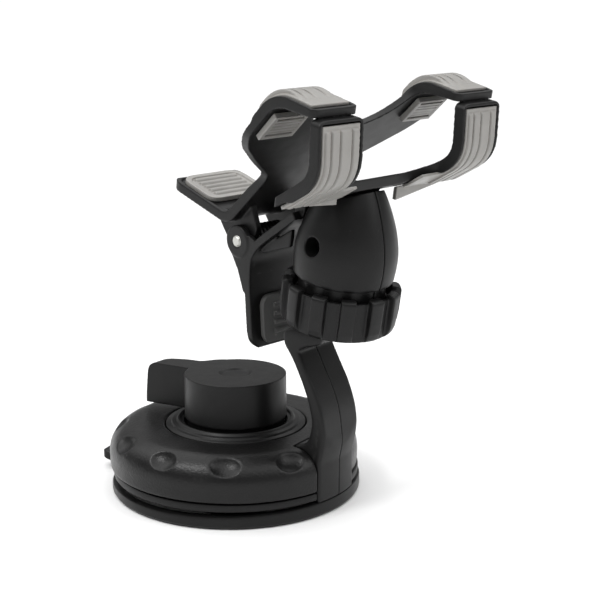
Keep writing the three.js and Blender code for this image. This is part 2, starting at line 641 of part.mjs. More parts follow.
function onFinger(line, from, to, near, far, q0, q1) {
  return alongY(strip(stretch(line, from, to), near, far), q0 + GRIP_BORDER, q1 - GRIP_BORDER);
}

// A rectangle with grooves across its top, as a side outline in local axes.
function grooved(length, thick, count, depth) {
  const outline = [[0, 0], [length, 0], [length, thick]];
  const pitch = length / (count + 1);
  for (let i = count; i >= 1; i -= 1) {
    outline.push([i * pitch + 0.6, thick], [i * pitch + 0.3, thick - depth]);
    outline.push([i * pitch - 0.3, thick - depth], [i * pitch - 0.6, thick]);
  }
  outline.push([0, thick]);
  return outline;
}

function thumbPad() {
  const slope = Math.atan2(THUMB_BEND[1] - THUMB_END[1], THUMB_BEND[0] - THUMB_END[0]);
  const { length, half, from } = THUMB_PAD;
  const [cos, sin] = [Math.cos(slope), Math.sin(slope)];
  const pad = grooved(length, 1.6, 4, 0.5).map(([along, up]) => {
    const above = up + JAW_T + PAD_LIFT;
    const x = THUMB_END[0] + from + along * cos - above * sin;
    return [x, THUMB_END[1] - 0.22 + along * sin + above * cos];
  });
  const [rear, front] = [THUMB_END[0] + from, THUMB_END[0] + from + length];
  const plan = rounded([[rear, -half, 4], [front, -half, 3], [front, half, 3], [rear, half, 4]], true, 4);
  return alongY(pad, -half, half).intersect(alongZ(plan, 5, 25));
}

function fingerPad() {
  const pad = strip(stretch(LEVER_LINE, 0.705, 0.975), JAW_T / 2 + GAP, JAW_T / 2 + GAP + 1.8);
  const face = rounded([[-8.5, -24.8, 4], [8.5, -24.8, 4], [8.5, -10.2, 4], [-8.5, -10.2, 4]], true, 4);
  return alongY(pad, -8.5, 8.5).intersect(alongX(face, -40, 0));
}

place(head, 'housing_near_half', housingHalf(-1), shell());
place(head, 'housing_far_half', housingHalf(1), shell());
place(head, 'housing_screw', housingScrew(), steel());
place(jaws, 'lower_jaw', lowerJaw(), shell());
place(jaws, 'upper_jaw', upperJaw(), shell());
FINGERS.forEach(([name, q0, q1]) => {
  const near = JAW_T + GAP;
  const upperGrip = onFinger(UPPER_LINE, UPPER_GRIP_FROM, UPPER_GRIP_TO, near, near + GRIP_T, q0, q1);
  const upperPad = onFinger(UPPER_LINE, ...UPPER_PAD, -GAP, -GAP - 1.5, q0, q1);
  const lowerGrip = onFinger(LOWER_LINE, ...LOWER_GRIP, -near, -near - GRIP_T, q0, q1);
  const tail = strip(stretch(LOWER_LINE, ...LOWER_TAIL), -near, -near - 0.6);
  const tailEnds = [Math.sign(q0) * TAIL_FROM, Math.sign(q0) * (FINGER_IN + 2)].sort((a, b) => a - b);
  place(jaws, `upper_grip_${name}`, upperGrip, grip());
  place(jaws, `upper_inner_pad_${name}`, upperPad, grip());
  place(jaws, `lower_grip_${name}`, lowerGrip.add(alongY(tail, ...tailEnds)), grip());
});
place(jaws, 'thumb_pad', thumbPad(), grip());
place(jaws, 'finger_pad', fingerPad(), darkGrip());
place(jaws, 'hinge_pin', rod([PIN.d, -PIN.half, PIN.n], [PIN.d, PIN.half, PIN.n], PIN.r, PIN.r, 24), steel());

// ---------- torsion spring around the hinge pin ----------
function torsionSpring() {
  const geometry = toGeometry(coil(3.6, 0.7, -5.4, 5.4, 6));
  geometry.rotateX(Math.PI / 2).translate(PIN.d, 0, PIN.n);
  return toSolid(geometry);
}
place(jaws, 'torsion_spring', torsionSpring(), steel());

export default mount;
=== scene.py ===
"""Looks of the phone mount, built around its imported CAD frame. Shapes are worked out in millimetres
in the base's axes or in the clamp head's axes (d forward, q across, n up) and placed in metres."""
import json
import math

import bmesh
import bpy
from mathutils import Matrix, Vector


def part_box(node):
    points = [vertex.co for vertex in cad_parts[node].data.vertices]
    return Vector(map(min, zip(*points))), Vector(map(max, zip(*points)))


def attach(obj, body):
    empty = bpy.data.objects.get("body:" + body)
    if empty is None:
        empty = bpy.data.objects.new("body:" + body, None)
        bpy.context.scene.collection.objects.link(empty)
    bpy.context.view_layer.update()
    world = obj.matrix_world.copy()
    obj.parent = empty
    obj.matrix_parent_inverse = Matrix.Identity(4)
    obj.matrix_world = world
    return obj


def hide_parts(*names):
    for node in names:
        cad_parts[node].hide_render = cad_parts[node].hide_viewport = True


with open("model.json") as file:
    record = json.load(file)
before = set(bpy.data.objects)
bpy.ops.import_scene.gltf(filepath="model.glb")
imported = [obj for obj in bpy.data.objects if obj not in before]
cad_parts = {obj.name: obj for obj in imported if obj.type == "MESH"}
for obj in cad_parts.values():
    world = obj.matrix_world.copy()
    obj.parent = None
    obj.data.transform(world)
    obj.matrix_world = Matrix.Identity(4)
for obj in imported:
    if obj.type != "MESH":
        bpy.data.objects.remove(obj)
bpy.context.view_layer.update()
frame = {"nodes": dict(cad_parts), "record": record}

MM = 0.001
record = frame["record"]

# ---------- places taken from the frame ----------
joint = {j["name"]: j for j in record["behaviour"]["joints"]}
BALL = Vector(joint["head_swivel"]["pos_m"]) / MM
PIN_AT = Vector(joint["jaw_open"]["pos_m"]) / MM
D = Vector(joint["head_roll"]["axis"]).normalized()
Q = Vector(joint["head_pitch"]["axis"]).normalized()
N = Vector(joint["head_swivel"]["axis"]).normalized()
BASE_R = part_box("suction_cup")[1].x / MM
DOME_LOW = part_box("dome_cover")[0].z / MM
DOME_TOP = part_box("dome_cover")[1].z / MM
PLATE_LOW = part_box("base_plate")[0].z / MM
KNOB_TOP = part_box("lock_knob")[1].z / MM
ARM_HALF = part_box("arm_far_half")[1].y / MM

# ---------- sizes in millimetres ----------
GAP = 0.3
PLATE_TOP = 7.4
PLATEAU_R = 31.0
RING_R = 22.2
KNOB_R = (16.0, 15.9)            # at its foot and at its top
KNOB_HOLLOW_R = 12.8
KNOB_LOW = 22.4
WING_REACH = 31.5
FOOT_X = 28.9
LIP_X = 36.2
ARM_SCREW = (28.1, 50.4)
BALL_R = 8.5
NECK_LEAN = math.radians(26)
JAW_HALF = 35.4
FINGER_IN = 19.7
LEVER_HALF = 12.0
JAW_T = 2.4
PIN_D, PIN_N, PIN_R = -34.0, 5.3, 1.6
PIN_PLAY = 0.1
LUG_R, LUG_IN = 4.8, 10.3
POST_HALF = 5
SCREW_N = 14.7
SCREW_HOLE_R = 1.7

# frames of the base, the clamp head and the jaws
BASE = Matrix.Identity(4)
HEAD = Matrix((D, Q, N)).transposed().to_4x4()
HEAD.translation = BALL
pin_in_head = HEAD.inverted() @ PIN_AT
JAW_D = pin_in_head.x - PIN_D    # how far the jaws' origin stands forward of the ball
JAWS = HEAD @ Matrix.Translation((JAW_D, 0, 0))

# ---------- camera and light, in metres ----------
LENS, SENSOR = 72, 36            # millimetres
CAMERA_AT = Vector((0.2234246, -0.2838983, 0.1399917))
CAMERA_AIM = Vector((0.01653, 0.01157, 0.05917))
LIGHT_AIM = Vector((0.01, 0, 0.06))
# light of the studio's dome by height above the horizon, from 0 to 1
SKY = ((0.0, 1.05), (0.04, 1.02), (0.09, 0.26), (0.45, 0.26), (0.72, 1.65), (1.0, 2.2))
BACKDROP = 1.03
# sockets of a colour mix node: its inputs and its result
MIX_SHARE, MIX_A, MIX_B, MIX_RESULT = 0, 6, 7, 2


def placed(name, data, place, aim):
    """A camera or lamp that looks from place to aim."""
    obj = bpy.data.objects.new(name, data)
    obj.location = place
    obj.rotation_euler = (aim - place).to_track_quat("-Z", "Y").to_euler()
    bpy.context.scene.collection.objects.link(obj)
    return obj


def camera():
    data = bpy.data.cameras.new("camera")
    data.lens = LENS
    data.sensor_width = SENSOR
    data.clip_start, data.clip_end = 0.01, 10
    bpy.context.scene.camera = placed("camera", data, CAMERA_AT, CAMERA_AIM)


def area_light(name, place, size, watts):
    data = bpy.data.lights.new(name, "AREA")
    data.shape = "RECTANGLE"
    data.size, data.size_y = size
    data.energy = watts
    placed(name, data, Vector(place), LIGHT_AIM)


def grey(level):
    return (level, level, level, 1)


def color_mix(tree):
    mix = tree.nodes.new("ShaderNodeMix")
    mix.data_type = "RGBA"
    return mix


def studio():
    """A white sweep: bright at the horizon, dimmer above it and bright again overhead, behind a plain
    white backdrop."""
    bpy.context.scene.view_settings.view_transform = "Standard"
    world = bpy.data.worlds.new("studio")
    world.use_nodes = True
    tree = world.node_tree
    way = tree.nodes.new("ShaderNodeTexCoord")
    split = tree.nodes.new("ShaderNodeSeparateXYZ")
    ramp = tree.nodes.new("ShaderNodeValToRGB")
    brightest = max(light for _, light in SKY)
    steps = ramp.color_ramp.elements
    while len(steps) < len(SKY):
        steps.new(0.5)
    for step, (height, light) in zip(steps, SKY):
        step.position = height
        step.color = grey(light / brightest)
    tree.links.new(way.outputs["Generated"], split.inputs["Vector"])
    tree.links.new(split.outputs["Z"], ramp.inputs["Fac"])
    rays = tree.nodes.new("ShaderNodeLightPath")
    backdrop = color_mix(tree)
    backdrop.inputs[MIX_B].default_value = grey(BACKDROP / brightest)
    tree.links.new(rays.outputs["Is Camera Ray"], backdrop.inputs[MIX_SHARE])
    tree.links.new(ramp.outputs["Color"], backdrop.inputs[MIX_A])
    tree.links.new(backdrop.outputs[MIX_RESULT], tree.nodes["Background"].inputs["Color"])
    tree.nodes["Background"].inputs["Strength"].default_value = brightest
    bpy.context.scene.world = world
    area_light("key", (-0.12, -0.4, 0.56), (0.2, 0.16), 1.5)
    area_light("left", (-0.5, -0.1, 0.4), (0.3, 0.4), 0.3)
    area_light("right", (0.6, 0.15, 0.4), (0.24, 0.4), 0.8)


# ---------- materials ----------
EDGE_WEAR = 2.2                  # how many times lighter a rubbed edge is
MILK = ((0.225, 0.218, 0.206), (0.275, 0.267, 0.253))
MILK_MEAN = (0.24, 0.23, 0.215)
# painted shade: the darker, warmer colour given to the grips' grooves and hollows
MILK_GROOVE_SHADE = (0.125, 0.109, 0.093)


def new_material(name, color, roughness, metallic=0.0):
    mat = bpy.data.materials.new(name)
    mat.use_nodes = True
    shader = mat.node_tree.nodes["Principled BSDF"]
    shader.inputs["Base Color"].default_value = (*color, 1)
    shader.inputs["Roughness"].default_value = roughness
    shader.inputs["Metallic"].default_value = metallic
    return mat, shader


def node(mat, kind):
    return mat.node_tree.nodes.new(kind)


def noise(mat, scale, detail, streak=(1, 1, 1)):
    """Noise fixed to the piece, with its scale in cells per metre, finer by streak along each axis."""
    place = node(mat, "ShaderNodeTexCoord")
    mapping = node(mat, "ShaderNodeMapping")
    mapping.inputs["Scale"].default_value = streak
    cells = node(mat, "ShaderNodeTexNoise")
    cells.inputs["Scale"].default_value = scale
    cells.inputs["Detail"].default_value = detail
    mat.node_tree.links.new(place.outputs["Object"], mapping.inputs["Vector"])
    mat.node_tree.links.new(mapping.outputs["Vector"], cells.inputs["Vector"])
    return cells.outputs["Fac"]


def spread(mat, source, low, high, start=0.3, end=0.7):
    """A factor turned into values from low to high, which are numbers or colours, between start and end."""
    links = mat.node_tree.links
    if isinstance(low, (int, float)):
        ranged = node(mat, "ShaderNodeMapRange")
        for socket, value in (("From Min", start), ("From Max", end), ("To Min", low), ("To Max", high)):
            ranged.inputs[socket].default_value = value
        links.new(source, ranged.inputs["Value"])
        return ranged.outputs["Result"]
    ramp = node(mat, "ShaderNodeValToRGB")
    ramp.color_ramp.elements[0].position = start
    ramp.color_ramp.elements[1].position = end
    ramp.color_ramp.elements[0].color = (*low, 1)
    ramp.color_ramp.elements[1].color = (*high, 1)
    links.new(source, ramp.inputs["Fac"])
    return ramp.outputs["Color"]


def bump(mat, shader, height, strength, distance):
    bumps = node(mat, "ShaderNodeBump")
    bumps.inputs["Strength"].default_value = strength
    bumps.inputs["Distance"].default_value = distance
    mat.node_tree.links.new(height, bumps.inputs["Height"])
    mat.node_tree.links.new(bumps.outputs["Normal"], shader.inputs["Normal"])


def moulded(name, dark, light, rough, grain, depth, gloss):
    """Moulded plastic or rubber: slow colour drift, patchy gloss, edges rubbed lighter and a fine grain,
    in cells per metre, as strong as depth says."""
    mat, shader = new_material(name, light, rough[0])
    links = mat.node_tree.links
    worn = color_mix(mat.node_tree)
    shape = node(mat, "ShaderNodeNewGeometry")
    links.new(spread(mat, shape.outputs["Pointiness"], 0.0, 1.0, 0.56, 0.7), worn.inputs[MIX_SHARE])
    links.new(spread(mat, noise(mat, 60, 4), dark, light), worn.inputs[MIX_A])
    worn.inputs[MIX_B].default_value = (*[value * EDGE_WEAR for value in light], 1)
    links.new(worn.outputs[MIX_RESULT], shader.inputs["Base Color"])
    links.new(spread(mat, noise(mat, 220, 5), *rough), shader.inputs["Roughness"])
    bump(mat, shader, noise(mat, grain, 3), depth, 0.0001)
    shader.inputs["Specular IOR Level"].default_value = gloss
    return mat


def milky():
    """Milky soft plastic that light goes a little way into, with painted shade in its grooves: where the
    surface bends inward its colour turns greyer, warmer and darker.
    """
    mat, shader = new_material("milky_grip", MILK_MEAN, 0.4)
    links = mat.node_tree.links
    shape = node(mat, "ShaderNodeNewGeometry")
    groove_shade = color_mix(mat.node_tree)
    # painted shade: where pointiness marks a groove or hollow, the colour mixes over to the darker, warmer
    # groove colour
    links.new(spread(mat, shape.outputs["Pointiness"], 1.0, 0.0, 0.44, 0.5), groove_shade.inputs[MIX_SHARE])
    links.new(spread(mat, noise(mat, 90, 4), *MILK), groove_shade.inputs[MIX_A])
    groove_shade.inputs[MIX_B].default_value = (*MILK_GROOVE_SHADE, 1)
    links.new(groove_shade.outputs[MIX_RESULT], shader.inputs["Base Color"])
    links.new(spread(mat, noise(mat, 400, 4), 0.32, 0.5), shader.inputs["Roughness"])
    shader.inputs["Subsurface Weight"].default_value = 0.15
    shader.inputs["Subsurface Radius"].default_value = (0.0008, 0.0007, 0.0006)
    shader.inputs["Subsurface Scale"].default_value = 1.0
    bump(mat, shader, noise(mat, 1800, 3), 0.12, 0.0001)
    return mat


def metal(name, color, rough, streak):
    """Drawn or turned metal, with its gloss streaked along one axis."""
    mat, shader = new_material(name, color, rough[0], 1.0)
    links = mat.node_tree.links
    links.new(spread(mat, noise(mat, 900, 4, streak), *rough), shader.inputs["Roughness"])
    bump(mat, shader, noise(mat, 2500, 3, streak), 0.1, 0.00005)
    return mat


BLACK = ((0.0042, 0.0042, 0.0043), (0.0062, 0.0061, 0.0061))
RUBBER = ((0.0036, 0.0036, 0.0036), (0.0052, 0.0052, 0.0052))
DARK_GRIP = ((0.062, 0.062, 0.061), (0.08, 0.08, 0.078))
ACETAL = ((0.6, 0.59, 0.56), (0.7, 0.69, 0.66))
LOOK = {
    "shell": moulded("black_shell", *BLACK, (0.38, 0.45), 2600, 0.14, 0.25),
    "grained": moulded("black_grained", *BLACK, (0.28, 0.36), 1500, 1.0, 0.26),
    "smooth": moulded("black_smooth", *BLACK, (0.37, 0.43), 3200, 0.06, 0.22),
    "cup": moulded("cup_rubber", *RUBBER, (0.3, 0.38), 1500, 0.08, 0.25),
    "grip": milky(),
    "grip_dark": moulded("dark_grip", *DARK_GRIP, (0.5, 0.62), 1800, 0.2, 0.2),
    "acetal": moulded("acetal", *ACETAL, (0.3, 0.42), 1500, 0.08, 0.5),
    "steel": metal("bright_steel", (0.55, 0.55, 0.52), (0.4, 0.5), (1, 1, 8)),
    "dark_steel": metal("blackened_steel", (0.05, 0.05, 0.052), (0.32, 0.46), (1, 1, 6)),
}

# ---------- outlines ----------
def rounded(corners, closed=False, steps=12):
    """Corners are (x, y, reach): rounded from that far before the corner to that far after it."""
    points = []
    count = len(corners)
    for i, corner in enumerate(corners):
        here = Vector(corner[:2])
        reach = corner[2] if len(corner) > 2 else 0
        if not reach or (not closed and i in (0, count - 1)):
            points.append(tuple(here))
            continue
        before, after = Vector(corners[i - 1][:2]), Vector(corners[(i + 1) % count][:2])
        start = here + (before - here).normalized() * reach
        end = here + (after - here).normalized() * reach
        for k in range(steps + 1):
            t = k / steps
            points.append(tuple(start * (1 - t) ** 2 + here * 2 * t * (1 - t) + end * t * t))
    return points


def spline(points, divisions):
    """Catmull-Rom curve through the points."""
    made = []
    last = len(points) - 1

    def at(i):
        return Vector(points[min(max(i, 0), last)])

    for k in range(divisions + 1):
        reach = k / divisions * last
        i = min(int(reach), last - 1)
        t = reach - i
        start, end = at(i), at(i + 1)
        leave, arrive = (end - at(i - 1)) / 2, (at(i + 2) - start) / 2
        cubic = 2 * start - 2 * end + leave + arrive
        square = 3 * end - 3 * start - 2 * leave - arrive
        made.append(tuple(cubic * t ** 3 + square * t ** 2 + leave * t + start))
    return made


def mirrored(half):
    """The outline's half closed by its mirror image in y."""
    return [*half, *[(x, -y) for x, y in reversed(half)]]


def offset(line, amount):
    """The line moved to its left when the amount is positive; it may also be one amount for each point."""
    amounts = amount if isinstance(amount, list) else [amount] * len(line)
    moved_line = []
    for i, ((x, y), reach) in enumerate(zip(line, amounts)):
        a, b = line[max(i - 1, 0)], line[min(i + 1, len(line) - 1)]
        way = Vector((b[0] - a[0], b[1] - a[1])).normalized()
        moved_line.append((x - way.y * reach, y + way.x * reach))
    return moved_line


def strip(line, near, far):
    """A band along the line, between two distances from it."""
    return offset(line, near) + offset(line, far)[::-1]


def point_on(line, fraction):
    """The point at a fraction of the line's length."""
    lengths = [0.0]
    for a, b in zip(line, line[1:]):
        lengths.append(lengths[-1] + math.dist(a, b))
    reach = fraction * lengths[-1]
    i = next(k for k in range(1, len(lengths)) if lengths[k] >= reach - 1e-9)
    share = (reach - lengths[i - 1]) / (lengths[i] - lengths[i - 1])
    return tuple(line[i - 1][k] + (line[i][k] - line[i - 1][k]) * share for k in (0, 1))


def stretch(line, start, end, steps=60):
    """The stretch of a line between two fractions of its length, in even steps."""
    return [point_on(line, start + (end - start) * i / steps) for i in range(steps + 1)]


def eased(share):
    """A share from 0 to 1, started and ended gently and held at its ends."""
    share = min(max(share, 0), 1)
    return share * share * (3 - 2 * share)


def raised(line, start, end, low, high, rise=0.0, fall=0.0):
    """A strip on a stretch of the line, its far side lifting from low to high over the first share of its
    length given by rise, and coming down again over the last one given by fall."""
    run = stretch(line, start, end, 90)
    amounts = []
    for i in range(len(run)):
        t = i / (len(run) - 1)
        share = min(1, t / rise if rise else 1, (1 - t) / fall if fall else 1)
        amounts.append(low + (high - low) * eased(share))
    return offset(run, low) + offset(run, amounts)[::-1]


def circle(x, y, r, count=64):
    turn = 2 * math.pi / count
    return [(x + r * math.cos(i * turn), y + r * math.sin(i * turn)) for i in range(count)]


def polar(r, degrees):
    angle = math.radians(degrees)
    return (r * math.cos(angle), r * math.sin(angle))


# ---------- solids, as meshes in millimetres ----------
MERGE = 1e-4                     # points of a mesh closer than this are one
SAME_CORNER = 1e-3               # and so are corners of an outline closer than this
ON_AXIS = 1e-6


def mesh_of(points, faces, dissolve=False):
    """A mesh with its doubled points merged and, when asked, its faces without area dissolved."""
    mesh = bpy.data.meshes.new("solid")
    mesh.from_pydata(points, [], faces)
    bm = bmesh.new()
    bm.from_mesh(mesh)
    bmesh.ops.remove_doubles(bm, verts=bm.verts, dist=MERGE)
    if dissolve:
        bmesh.ops.dissolve_degenerate(bm, dist=MERGE, edges=bm.edges)
    bmesh.ops.recalc_face_normals(bm, faces=bm.faces)
    bm.to_mesh(mesh)
    bm.free()
    return mesh


def prism(outline, low, high, place):
    """The outline pulled from low to high; place turns (x, y, depth) into a point."""
    apart = [p for i, p in enumerate(outline) if math.dist(p, outline[i - 1]) > SAME_CORNER]
    count = len(apart)
    points = [place(x, y, low) for x, y in apart] + [place(x, y, high) for x, y in apart]
    faces = [tuple(range(count)), tuple(range(2 * count - 1, count - 1, -1))]
    faces += [(i, (i + 1) % count, (i + 1) % count + count, i + count) for i in range(count)]
    return mesh_of(points, faces)


def along_y(outline, low, high):
    return prism(outline, low, high, lambda x, z, y: (x, y, z))


def along_z(outline, low, high):
    return prism(outline, low, high, lambda x, y, z: (x, y, z))


def along_x(outline, low, high):
    return prism(outline, low, high, lambda y, z, x: (x, y, z))


def forward(outline, low, high):
    """The outline given as (height, across) and pulled forward."""
    return prism(outline, low, high, lambda n, q, d: (d, q, n))


def box(x0, x1, y0, y1, z0, z1):
    return along_z([(x0, y0), (x1, y0), (x1, y1), (x0, y1)], z0, z1)


def turned(profile, segments=180):
    """Turned about Z from a closed loop of (radius, height)."""
    points, faces = [], []
    count = len(profile)
    for i in range(segments):
        angle = 2 * math.pi * i / segments
        points += [(r * math.cos(angle), r * math.sin(angle), z) for r, z in profile]
    for i in range(segments):
        a, b = i * count, (i + 1) % segments * count
        for k in range(count):
            m = (k + 1) % count
            if profile[k][0] > ON_AXIS or profile[m][0] > ON_AXIS:
                faces.append((a + k, b + k, b + m, a + m))
    return mesh_of(points, faces, dissolve=True)


def moved(mesh, matrix):
    mesh.transform(matrix)
    return mesh


def about_z(mesh, degrees):
    return moved(mesh, Matrix.Rotation(math.radians(degrees), 4, "Z"))


def rod(start, end, r0, r1=None, segments=48):
    """A round bar between two points, tapered when it has a second radius."""
    r1 = r0 if r1 is None else r1
    start, end = Vector(start), Vector(end)
    run = end - start
    mesh = turned([(0, 0), (r0, 0), (r1, run.length), (0, run.length)], segments)
    turn = run.to_track_quat("Z", "Y").to_matrix().to_4x4()
    return moved(mesh, Matrix.Translation(start) @ turn)


def ellipsoid(radii, segments=48, rings=24):
    arc = [(math.sin(math.pi * i / rings), -math.cos(math.pi * i / rings)) for i in range(rings + 1)]
    mesh = turned([(max(r, 0.0), z) for r, z in arc], segments)
    return moved(mesh, Matrix.Diagonal((*radii, 1)))


def evaluated(mesh, modifiers, tools=()):
    """The mesh after modifiers, which are (type, settings) pairs."""
    holder = bpy.data.objects.new("holder", mesh)
    bpy.context.scene.collection.objects.link(holder)
    for kind, settings in modifiers:
        mod = holder.modifiers.new(kind, kind)
        for key, value in settings.items():
            setattr(mod, key, value)
    bpy.context.view_layer.update()
    graph = bpy.context.evaluated_depsgraph_get()
    made = bpy.data.meshes.new_from_object(holder.evaluated_get(graph))
    bpy.data.objects.remove(holder)
    for tool in tools:
        bpy.data.objects.remove(tool)
    return made


def combined(mesh, operation, others):
    """One boolean operation with each of the others in turn."""
    tools, steps = [], []
    for other in others:
        tool = bpy.data.objects.new("tool", other)
        bpy.context.scene.collection.objects.link(tool)
        tools.append(tool)
        steps.append(("BOOLEAN", {"operation": operation, "solver": "MANIFOLD", "object": tool}))
    return evaluated(mesh, steps, tools)


def join(mesh, *others):
    return combined(mesh, "UNION", others)


def cut(mesh, *others):
    return combined(mesh, "DIFFERENCE", others)


def meet(mesh, *others):
    return combined(mesh, "INTERSECT", others)


def softened(mesh, cell, rounds, keep):
    """Remeshed in even cells and relaxed, so that every edge gets a small moulded radius, then thinned to
    a share of its faces."""
    return evaluated(mesh, [
        ("REMESH", {"mode": "VOXEL", "voxel_size": cell, "adaptivity": 0.0}),
        ("SMOOTH", {"factor": 0.5, "iterations": rounds}),
        ("DECIMATE", {"ratio": keep}),
    ])


def piece(name, mesh, look, body, nodes=(), frame_of=BASE, sharp=None):
    """Puts a finished mesh into the scene, riding a body in place of its CAD nodes."""
    mesh.transform(Matrix.Scale(MM, 4) @ frame_of)
    mesh.name = name
    for poly in mesh.polygons:
        poly.use_smooth = True
    if sharp:
        mesh.set_sharp_from_angle(angle=math.radians(sharp))
    mesh.materials.clear()
    mesh.materials.append(LOOK[look])
    obj = bpy.data.objects.new(name, mesh)
    bpy.context.scene.collection.objects.link(obj)
    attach(obj, body)
    if nodes:
        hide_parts(*nodes)


# ---------- suction base ----------
ROUND = 240                      # segments of the base's large round pieces
LIP_R, LIP_Z = 33, 1.5           # the cup's soft lip lies outside and above these
LIP_TILT, LIP_SAG = 0.85, 0.05   # it rises under the arm and sinks across from it
TAB_TURN = 193
TAB_ROOT, TAB_END = 34, 46.75
TAB_TOP = (40, 3.75)             # a point of the tab's top, which climbs outward by its slope
TAB_SLOPE = 0.29
TAB_RIBS = (41.2, 42.9, 44.6)
TAB_RIB_HALF, TAB_RIB_R = 3.0, 0.55


def cup():
    profile = [(0, 0), (37.9, 0), (38.6, 0.25), (39.0, 0.9), (39.0, 2.9), (38.8, 3.4), (38.3, 3.6),
               (36.6, 3.6), (35.6, 3.0), (31, 2.2), (9, 2.2), (7, 6.0), (0, 6.0)]
    disc = turned(profile, ROUND)
    for vert in disc.vertices:
        if vert.co.z > LIP_Z and vert.co.xy.length > LIP_R:
            vert.co.z += LIP_TILT * vert.co.x / BASE_R - LIP_SAG
    piece("cup_disc", disc, "cup", "base", ["suction_cup"], sharp=30)


def pull_tab():
    side = rounded([
        (TAB_ROOT, 0.7), (39.5, 1.2, 2), (46.5, 3.2, 0.6), (46.7, 5.9, 0.6), (40.5, 4.2, 2),
        (TAB_ROOT, 2.6),
    ], True, 6)
    plan = rounded([(TAB_ROOT, -5), (TAB_END, -4.2, 1.8), (TAB_END, 4.2, 1.8), (TAB_ROOT, 5)], True, 6)
    tab = meet(along_y(side, -6, 6), along_z(plan, -1, 8))
    for reach in TAB_RIBS:
        height = TAB_TOP[1] + (reach - TAB_TOP[0]) * TAB_SLOPE
        tab = join(tab, rod((reach, -TAB_RIB_HALF, height), (reach, TAB_RIB_HALF, height), TAB_RIB_R))
    tab = about_z(softened(tab, 0.2, 4, 0.6), TAB_TURN)
    piece("cup_pull_tab", tab, "cup", "base")


def plate():
    low, high = PLATE_LOW, PLATE_TOP
    profile = [(8.4, low), (35.6, low), (36.1, low + 0.8), (36.6, low + 1.05), (38.0, low + 1.1),
               (38.4, low + 1.35), (38.5, low + 1.8), (38.5, high - 0.5), (38.35, high - 0.12),
               (38.0, high), (11, high), (11, 14.6), (4.4, 14.6), (4.4, 14.1), (8.4, 14.1)]
    disc = turned(profile, ROUND)
    notch = box(LIP_X - GAP, BASE_R, -ARM_HALF - GAP, ARM_HALF + GAP, low - 1, high + 1)
    piece("plate_disc", cut(disc, notch), "shell", "base", ["base_plate"], sharp=28)


def quarter(wall, low, plateau, high, steps):
    """A quarter of an ellipse, from a wall up to the edge of a plateau."""
    turns = [i / steps * math.pi / 2 for i in range(steps + 1)]
    return [(plateau + (wall - plateau) * math.cos(a), low + (high - low) * math.sin(a)) for a in turns]


DIMPLE_COUNT, DIMPLE_PHASE, DIMPLE_STEP, DIMPLE_LEAN = 11, 33.5, 30, 49
DIMPLE_AXES, DIMPLE_AT = (3.3, 5.4, 4.6), (37.5, 0, 19.7)
DOME_WALL = 2.4
SHIFT = 0.8                      # how far the dome's shoulder is moved away from the arm
SHIFT_FROM, SHIFT_RUN = 24, 10   # radius where the shift starts, and the distance over which it grows
FADE_FROM, FADE_RUN = 26, 14     # beside the arm it fades to nothing here, over that distance


def dome():
    low, high = DOME_LOW, DOME_TOP
    profile = [(BASE_R - 0.9, low), (BASE_R - 0.35, low + 0.15), (BASE_R - 0.1, low + 0.7),
               *quarter(BASE_R, 12.6, PLATEAU_R, high, 16),
               (RING_R + 0.4, high), (RING_R + 0.1, high - 0.15), (RING_R, high - 0.5), (RING_R, 18.6),
               (16.9, 18.6), (16.9, 16.4), (RING_R, 16.4), (RING_R + 2, high - DOME_WALL),
               *quarter(BASE_R - DOME_WALL, 11.4, PLATEAU_R - 1, high - DOME_WALL, 12)[::-1],
               (BASE_R - DOME_WALL, low)]
    body = turned(profile, ROUND)
    wide = ARM_HALF + GAP + 0.1
    tools = [box(FOOT_X - GAP, BASE_R + 2, -wide, wide, low - 1, high + 1)]
    for i in range(DIMPLE_COUNT):
        bowl = moved(ellipsoid(DIMPLE_AXES), Matrix.Rotation(-math.radians(DIMPLE_LEAN), 4, "Y"))
        bowl = moved(bowl, Matrix.Translation(DIMPLE_AT))
        tools.append(about_z(bowl, DIMPLE_PHASE + i * DIMPLE_STEP))
    body = softened(cut(body, *tools), 0.36, 3, 0.45)
    for vert in body.vertices:
        outward = eased((vert.co.xy.length - SHIFT_FROM) / SHIFT_RUN)
        clear_of_arm = min(max((FADE_FROM - vert.co.x) / FADE_RUN, 0), 1) if vert.co.y < 0 else 1
        vert.co.x -= SHIFT * outward * clear_of_arm
    piece("dome_shell", body, "grained", "base", ["dome_cover"])


def ring():
    profile = [(16.3, 18.9), (21.9, 18.9), (21.9, 20.35), (21.75, 20.5), (20.35, 20.55), (20.2, 20.7),
               (20.05, 21.15), (19.9, 21.25), (18.75, 21.25), (18.6, 21.35), (18.3, 21.85), (18.1, 22.0),
               (17.7, 22.05), (17.45, 21.9), (17.3, 21.2), (16.3, 21.1)]
    piece("knob_ring", turned(profile, 220), "smooth", "base", ["trim_ring"], sharp=50)


